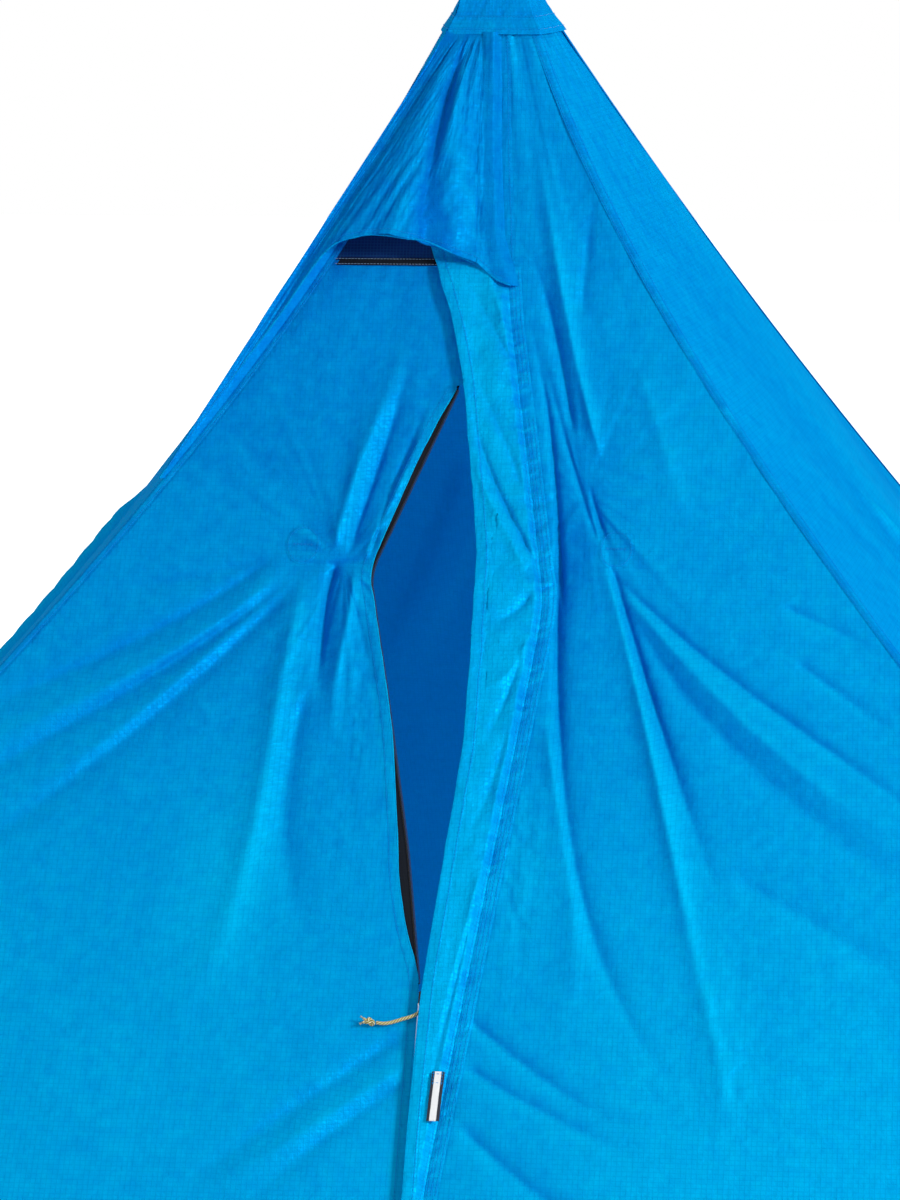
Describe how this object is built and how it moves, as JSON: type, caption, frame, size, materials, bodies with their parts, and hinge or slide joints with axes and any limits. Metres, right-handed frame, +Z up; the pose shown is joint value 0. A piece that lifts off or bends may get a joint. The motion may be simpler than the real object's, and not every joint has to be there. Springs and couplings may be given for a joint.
{
  "type": "single-pole pyramid tent",
  "caption": "Square pyramid tent on a centre pole, with a zipped door, storm flap, hooded mesh vent and webbing stake loops.",
  "frame": {"origin": "on the ground under the peak, at the underside of the pole foot, in the middle of the square base", "axes": "+Z up along the pole, -Y towards the door, +X towards the right of someone who faces the door from outside"},
  "size_m": [2.4094, 2.4094, 1.451],
  "materials": {
    "blue_ripstop": "thin coated ripstop cloth, slight sheen",
    "flap_ripstop": "same cloth, brighter because it is one layer against the light",
    "felled_seam": "several layers of the cloth, sewn flat in two rows",
    "navy_mesh": "fine insect mesh",
    "black_tape": "woven zip tape and binding",
    "black_webbing": "woven webbing, 15 mm wide",
    "black_plastic": "moulded acetal",
    "zip_metal": "black enamelled die-cast slider",
    "pole_alloy": "anodised tube",
    "foot_rubber": "moulded rubber",
    "reflective_tape": "black tape with a woven reflective stripe",
    "olive_cord": "braided utility cord, olive yellow with pale flecks"
  },
  "bodies": {
    "root": {"front_left_panel": "blue_ripstop", "front_right_panel": "blue_ripstop", "right_side_panel": "blue_ripstop", "back_panel": "blue_ripstop", "left_side_panel": "blue_ripstop", "vent_hood": "blue_ripstop", "storm_flap_top": "flap_ripstop", "ridge_seam_front_left": "felled_seam", "ridge_seam_front_right": "felled_seam", "ridge_seam_back_right": "felled_seam", "ridge_seam_back_left": "felled_seam", "corner_patch_front_left": "felled_seam", "corner_patch_front_right": "felled_seam", "corner_patch_back_right": "felled_seam", "corner_patch_back_left": "felled_seam", "peak_cap": "felled_seam", "top_seam": "felled_seam", "vent_mesh": "navy_mesh", "vent_binding": "black_tape", "zip_chain_upper": "black_tape", "corner_tab_front_left": "black_webbing", "corner_tab_front_right": "black_webbing", "corner_tab_back_right": "black_webbing", "corner_tab_back_left": "black_webbing", "hem_loop_left": "black_webbing", "hem_loop_right": "black_webbing", "hem_loop_back": "black_webbing", "peak_cup": "black_plastic", "pole_tip": "black_plastic", "clamp_collar": "black_plastic", "pole_upper_tube": "pole_alloy"},
    "left_door": {"left_door": "blue_ripstop", "zip_tape_left": "black_tape", "tie_patch_left": "felled_seam"},
    "right_door": {"right_door": "blue_ripstop", "zip_tape_right": "black_tape", "tie_patch_right": "felled_seam", "storm_flap_upper": "flap_ripstop", "storm_flap_tail": "flap_ripstop", "zip_chain_lower": "black_tape"},
    "storm_flap": {"storm_flap_lower": "flap_ripstop", "reflective_tab": "reflective_tape"},
    "hood_brim": {"hood_brim": "blue_ripstop"},
    "lower_slider": {"lower_slider": "zip_metal", "pull_cord": "olive_cord", "cord_knot": "olive_cord"},
    "upper_slider": {"upper_slider": "zip_metal"},
    "pole_lower": {"pole_lower_tube": "pole_alloy", "pole_foot": "foot_rubber"},
    "clamp_lever": {"clamp_lever": "black_plastic"},
    "corner_front_left": {"ladder_lock_front_left": "black_plastic", "stake_loop_front_left": "black_webbing"},
    "corner_front_right": {"ladder_lock_front_right": "black_plastic", "stake_loop_front_right": "black_webbing"},
    "corner_back_right": {"ladder_lock_back_right": "black_plastic", "stake_loop_back_right": "black_webbing"},
    "corner_back_left": {"ladder_lock_back_left": "black_plastic", "stake_loop_back_left": "black_webbing"}
  },
  "joints": [
    {"name": "left_door_fold", "type": "hinge", "parent": "root", "child": "left_door", "pos_m": [-1.106, -1.1593, 0.0009], "axis": [-0.6089, -0.5219, -0.5974], "range_deg": [0, 120], "deforming": ["pull_cord", "cord_knot"]},
    {"name": "right_door_fold", "type": "hinge", "parent": "root", "child": "right_door", "pos_m": [1.106, -1.1593, 0.0009], "axis": [-0.6132, 0.5197, 0.5949], "range_deg": [0, 120]},
    {"name": "storm_flap_lift", "type": "hinge", "parent": "right_door", "child": "storm_flap", "pos_m": [0.00839, -0.84696, 0.34706], "axis": [0.1177, 0.665, 0.7375], "range_deg": [0, 75]},
    {"name": "hood_brim_fold", "type": "hinge", "parent": "root", "child": "hood_brim", "pos_m": [-0.14858, -0.18089, 1.19186], "axis": [-0.9978, -0.0488, 0.0444], "range_deg": [0, 45]},
    {"name": "lower_slider_run", "type": "slide", "parent": "right_door", "child": "lower_slider", "axis": [0, -0.6632, -0.7484], "range_m": [0, 0.6], "deforming": ["zip_chain_lower"]},
    {"name": "upper_slider_run", "type": "slide", "parent": "root", "child": "upper_slider", "axis": [0, 0.5634, 0.8262], "range_m": [0, 0.1], "deforming": ["zip_chain_upper"]},
    {"name": "pole_lower_slide", "type": "slide", "parent": "root", "child": "pole_lower", "axis": [0, 0, 1], "range_m": [0, 0.25]},
    {"name": "clamp_lever_open", "type": "hinge", "parent": "root", "child": "clamp_lever", "pos_m": [0.0167, 0, 0.622], "axis": [0, 0, -1], "range_deg": [0, 120]},
    {"name": "corner_front_left_tip", "type": "hinge", "parent": "root", "child": "corner_front_left", "pos_m": [-1.15812, -1.15812, 0.0064], "axis": [-0.7071, 0.7071, 0], "range_deg": [0, 60]},
    {"name": "corner_front_right_tip", "type": "hinge", "parent": "root", "child": "corner_front_right", "pos_m": [1.15812, -1.15812, 0.0064], "axis": [-0.7071, -0.7071, 0], "range_deg": [0, 60]},
    {"name": "corner_back_right_tip", "type": "hinge", "parent": "root", "child": "corner_back_right", "pos_m": [1.15812, 1.15812, 0.0064], "axis": [0.7071, -0.7071, 0], "range_deg": [0, 60]},
    {"name": "corner_back_left_tip", "type": "hinge", "parent": "root", "child": "corner_back_left", "pos_m": [-1.15812, 1.15812, 0.0064], "axis": [0.7071, 0.7071, 0], "range_deg": [0, 60]}
  ]
}
